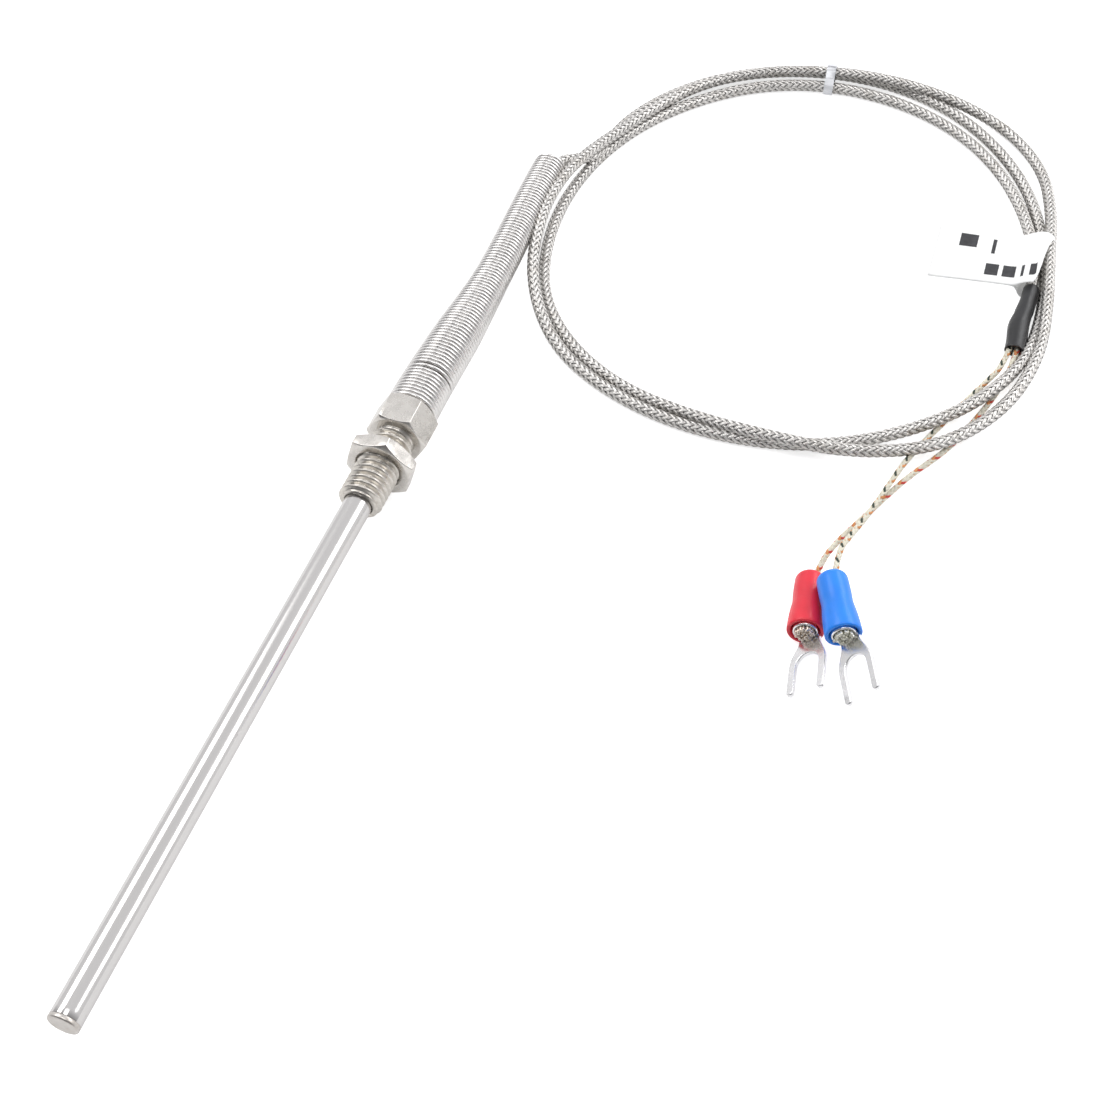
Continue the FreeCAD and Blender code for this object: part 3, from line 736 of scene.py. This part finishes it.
# --- pieces on the lead --------------------------------------------------------------------------
def heat_shrink():
    """Shrunk sleeve: tight on the cable, lumpy over the splice, flared where the leads leave."""
    start, end = np.array([96.0, -96.6, -4.45]), np.array([78.5, -96.9, -4.45])
    # share of the length, half width, half height; the last rows turn in at the flared end
    rows = [
        (0.0, 1.26, 1.26), (0.01, 1.42, 1.42), (0.04, 1.52, 1.52), (0.10, 1.56, 1.55), (0.2, 1.58, 1.56),
        (0.3, 1.66, 1.60), (0.38, 1.74, 1.66), (0.44, 1.68, 1.60), (0.5, 1.78, 1.66), (0.58, 1.90, 1.74),
        (0.66, 1.98, 1.78), (0.76, 1.95, 1.72), (0.86, 1.86, 1.60), (0.93, 1.84, 1.50), (0.97, 1.88, 1.46),
        (0.992, 1.90, 1.46), (1.0, 1.84, 1.40), (0.996, 1.62, 1.10), (0.96, 1.2, 0.7), (0.94, 0.02, 0.02),
    ]
    axis = end - start
    along = axis / np.linalg.norm(axis)
    side = np.cross([0, 0, 1.0], along)
    side /= np.linalg.norm(side)
    up = np.cross(along, side)
    points, columns = [], 48
    for t, wide, tall in rows:
        for j in range(columns):
            a = 2 * pi * j / columns
            lump = 1 + 0.02 * sin(3 * a + 9 * t) + 0.012 * sin(5 * a - 23 * t)
            sway = np.array([0, 0.45 * exp(-((t - 0.62) / 0.25) ** 2), 0])
            p = start + axis * t + sway + side * wide * lump * cos(a) + up * tall * lump * sin(a)
            points.append(p)
    faces = grid_faces(len(rows), columns)
    obj = mesh_object("heat_shrink", points, faces, material=shrink_black, sharp=70)
    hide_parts("heat_shrink_sleeve")
    return obj


def outline_round(circles, radius, floor):
    """Tight loop round circles given by their centres."""
    cloud = []
    for u, z in circles:
        for a in np.arange(48) * pi / 24:
            cloud.append((u + radius * cos(a), max(z + radius * sin(a), floor)))
    cloud = sorted(set((round(u, 4), round(z, 4)) for u, z in cloud))

    def chain(points):
        """Lower side of the tight loop, from left to right."""
        kept = []
        for p in points:
            while len(kept) > 1 and (kept[-1][0] - kept[-2][0]) * (p[1] - kept[-2][1]) \
                    - (kept[-1][1] - kept[-2][1]) * (p[0] - kept[-2][0]) <= 0:
                kept.pop()
            kept.append(p)
        return kept[:-1]

    return chain(cloud) + chain(cloud[::-1])


def strands_at(angle):
    """(radius, height) of each pass of the cable at an angle of the ring, in degrees."""
    found = []
    for turn in range(3):
        t = angle - 360 * turn
        if TURNS[-1][0] <= t <= TURNS[0][0]:
            r, z = hermite(TURNS, t)
            found.append((r, max(z, REST)))
    return found


def band_loop(circles, inner, thick, floor, origin, direction, width, name, **rest):
    """Closed band round the strands, square to direction."""
    loop = outline_round(circles, inner, floor)
    out = outline_round(circles, inner + thick, floor)
    centre = np.mean(np.array(loop), axis=0)

    def by_angle(points, count=72):
        """Points of a loop at even angles about the centre."""
        p = np.array(points + points[:1])
        runs = np.r_[0, np.cumsum(np.linalg.norm(np.diff(p, axis=0), axis=1))]
        places = np.linspace(0, runs[-1], 2000)
        dense = np.stack([np.interp(places, runs, p[:, k]) for k in (0, 1)], axis=1)
        angle = np.arctan2(dense[:, 1] - centre[1], dense[:, 0] - centre[0])
        wanted = -pi + 2 * pi * (np.arange(count) + 0.5) / count
        return [dense[np.argmin(np.abs(np.angle(np.exp(1j * (angle - w)))))] for w in wanted]

    inner_loop, outer_loop = by_angle(loop), by_angle(out)
    d = np.array(direction)
    across = np.array([-d[1], d[0]])
    points = []
    corners = ((outer_loop, -0.5), (outer_loop, 0.5), (inner_loop, 0.5), (inner_loop, -0.5))
    for loop_points, offset in corners:
        for u, z in loop_points:
            xy = np.array(origin) + d * u + across * offset * width
            points.append((xy[0], xy[1], z))
    count = len(outer_loop)
    faces = grid_faces(4, count)
    faces += [(3 * count + j, 3 * count + (j + 1) % count, (j + 1) % count, j) for j in range(count)]
    return mesh_object(name, points, faces, **rest)


tie_direction = (cos(radians(TIE_ANGLE)), sin(radians(TIE_ANGLE)))
tie = band_loop(strands_at(TIE_ANGLE), CABLE_D / 2 + 0.04, 0.42, SURFACE + 0.02, RING_CENTRE,
                tie_direction, 1.9, "tie_band", material=white_plastic)
soften(tie, 0.12, 2, 40)
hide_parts("cable_tie")


def box_points(centre, size, turn):
    """Corners and faces of a box turned about Z."""
    c, s = cos(turn), sin(turn)
    points = []
    for dz in (-0.5, 0.5):
        for dx, dy in ((-0.5, -0.5), (0.5, -0.5), (0.5, 0.5), (-0.5, 0.5)):
            x, y = dx * size[0], dy * size[1]
            points.append((centre[0] + x * c - y * s, centre[1] + x * s + y * c,
                           centre[2] + dz * size[2]))
    faces = [(3, 2, 1, 0), (4, 5, 6, 7), (0, 1, 5, 4), (1, 2, 6, 5), (2, 3, 7, 6), (3, 0, 4, 7)]
    return points, faces


head_r = strands_at(TIE_ANGLE)[1]
spot = np.array(RING_CENTRE) + np.array(tie_direction) * (head_r[0] + 0.5)
points, faces = box_points((spot[0], spot[1], head_r[1] + CABLE_D / 2 + 0.36), (1.5, 1.8, 0.7),
                           radians(TIE_ANGLE))
tie_head = mesh_object("tie_head", points, faces, material=white_plastic)
soften(tie_head, 0.18, 3)


def label_point(u, along):
    """Point on the label; the near edge of its loop is slanted, and the loop follows the cable."""
    y, z = along
    flag = max(0.0, (y + 92.0) / 15.4)
    curl = 0.55 * flag ** 2 * max(0.0, u) ** 2 * 4 + 0.18 * flag * sin(3.0 * u)
    near = min(1.0, max(0.0, (-96.0 - y) / 2.5))
    slant = 0.62 * near * near * (3 - 2 * near) + 0.3 * min(1.0, max(0.0, (-98.3 - y) / 2.0))
    hug = min(1.0, max(0.0, (-95.5 - y) / 4.0))
    x = (0.5 - (0.5 - u) * (1 - slant)) * LABEL_WIDTH
    dy = y - LABEL_PIVOT[1] + hug * (1.0 + 0.17 * x)
    c, s = cos(LABEL_TURN), sin(LABEL_TURN)
    return (LABEL_PIVOT[0] + x * c - dy * s, LABEL_PIVOT[1] + x * s + dy * c, z + curl)


def label():
    """The folded strip of paper."""
    knots = [(k, y, z) for k, (y, z) in enumerate(LABEL_SIDE)]
    side = [hermite(knots, t) for t in np.linspace(0, len(knots) - 1, 110)]
    columns = 25
    points = [label_point(u, p) for p in side for u in np.linspace(-0.5, 0.5, columns)]
    faces = grid_faces(len(side), columns, wrap=False)
    obj = mesh_object("label_paper", points, faces, material=paper)
    thick = obj.modifiers.new("thickness", "SOLIDIFY")
    thick.thickness = 0.09 * MM
    thick.offset = 0
    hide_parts("label_flag")
    return obj


def label_print():
    """Plain bars in place of the print, on the upper layer of the paper."""
    top = LABEL_SIDE[LABEL_TOP_FROM:]
    points, faces = [], []
    for u0, u1, y0, y1 in LABEL_BARS:
        start = len(points)
        for y in np.linspace(y0, y1, 9):
            for u in np.linspace(u0, u1, 5):
                px, py, pz = label_point(u, (y, hermite(top, y)[0]))
                points.append((px, py, pz + 0.07))
        faces += grid_faces(9, 5, wrap=False, start=start)
    obj = mesh_object("label_bars", points, faces, material=ink)
    return obj


sleeve = heat_shrink()
flag = label()
bars = label_print()

# --- what is left of the CAD ---------------------------------------------------------------------
for node, finish in (
    ("ceramic_insulator", ceramic), ("tip_fill", ceramic), ("rear_seal", epoxy),
    ("measuring_junction", tip_steel), ("positive_thermo_wire", strand_metal),
    ("negative_thermo_wire", strand_grey), ("crimp_ferrule", nickel),
):
    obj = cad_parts[node]
    obj.data.materials.clear()
    obj.data.materials.append(finish)


# --- floor, light, camera --------------------------------------------------------------------------
def floor():
    """White floor that glows faintly, more for the camera than for what stands on it."""
    half = 3.0
    mesh = bpy.data.meshes.new("floor")
    corners = [(-half, -half), (half, -half), (half, half), (-half, half)]
    mesh.from_pydata([(x, y, SURFACE * MM) for x, y in corners], [], [(0, 1, 2, 3)])
    obj = bpy.data.objects.new("floor", mesh)
    bpy.context.scene.collection.objects.link(obj)
    paint = glowing(material("floor", (0.80, 0.80, 0.80), 0.0, 0.9, tint=0.004, scale=3.0), 0.22)
    nodes, links = paint.node_tree.nodes, paint.node_tree.links
    glow = nodes.new("ShaderNodeMapRange")
    glow.inputs["To Min"].default_value, glow.inputs["To Max"].default_value = 0.22, 0.70
    seen = nodes.new("ShaderNodeLightPath")
    links.new(seen.outputs["Is Camera Ray"], glow.inputs["Value"])
    links.new(glow.outputs["Result"], nodes["Principled BSDF"].inputs["Emission Strength"])
    mesh.materials.append(paint)
    return obj


def studio():
    """Surroundings that are dark on the side of -X and bright on the side of +X."""
    world = bpy.data.worlds.new("studio")
    bpy.context.scene.world = world
    world.use_nodes = True
    nodes, links = world.node_tree.nodes, world.node_tree.links
    nodes.clear()
    place = nodes.new("ShaderNodeTexCoord")
    split = nodes.new("ShaderNodeSeparateXYZ")
    spread = nodes.new("ShaderNodeMapRange")
    spread.inputs["From Min"].default_value = -1.0
    ramp = nodes.new("ShaderNodeValToRGB")
    shade = nodes.new("ShaderNodeBackground")
    out = nodes.new("ShaderNodeOutputWorld")
    links.new(place.outputs["Generated"], split.inputs["Vector"])
    links.new(split.outputs["X"], spread.inputs["Value"])
    links.new(spread.outputs["Result"], ramp.inputs["Fac"])
    links.new(ramp.outputs["Color"], shade.inputs["Color"])
    links.new(shade.outputs["Background"], out.inputs["Surface"])
    dark, bright = ramp.color_ramp.elements
    dark.position, dark.color = 0.15, (0.16, 0.16, 0.17, 1)
    bright.position, bright.color = 0.62, (0.92, 0.92, 0.935, 1)
    middle = ramp.color_ramp.elements.new(0.42)
    middle.color = (0.38, 0.38, 0.39, 1)


def softbox(name, place, target, size, power):
    """Rectangular light at a place (metres), turned towards a target; power in watts."""
    light = bpy.data.lights.new(name, "AREA")
    light.shape = "RECTANGLE"
    light.size, light.size_y = size
    light.energy = power
    obj = bpy.data.objects.new(name, light)
    obj.location = place
    obj.rotation_euler = (Vector(target) - Vector(place)).to_track_quat("-Z", "Y").to_euler()
    bpy.context.scene.collection.objects.link(obj)


def camera():
    """Camera above the tip of the sheath, looking back along the probe."""
    data = bpy.data.cameras.new("camera")
    data.lens = 60.55
    data.sensor_width = 36
    data.clip_start = 0.01
    obj = bpy.data.objects.new("camera", data)
    obj.location = (-0.17683, -0.10271, 0.24034)
    obj.rotation_euler = (radians(38.54), radians(0.49), radians(-69.59))
    bpy.context.scene.collection.objects.link(obj)
    bpy.context.scene.camera = obj


floor()
studio()
softbox("key", (0.70, -0.66, 0.66), (0.04, -0.03, 0), (1.2, 0.42), 5.0)
softbox("back", (0.15, 0.75, 0.95), (0.04, -0.02, 0), (0.9, 0.6), 5.0)
softbox("top", (-0.15, -0.05, 1.3), (0.05, -0.03, 0), (0.5, 0.5), 3.0)
camera()
bpy.context.scene.view_settings.view_transform = "Standard"
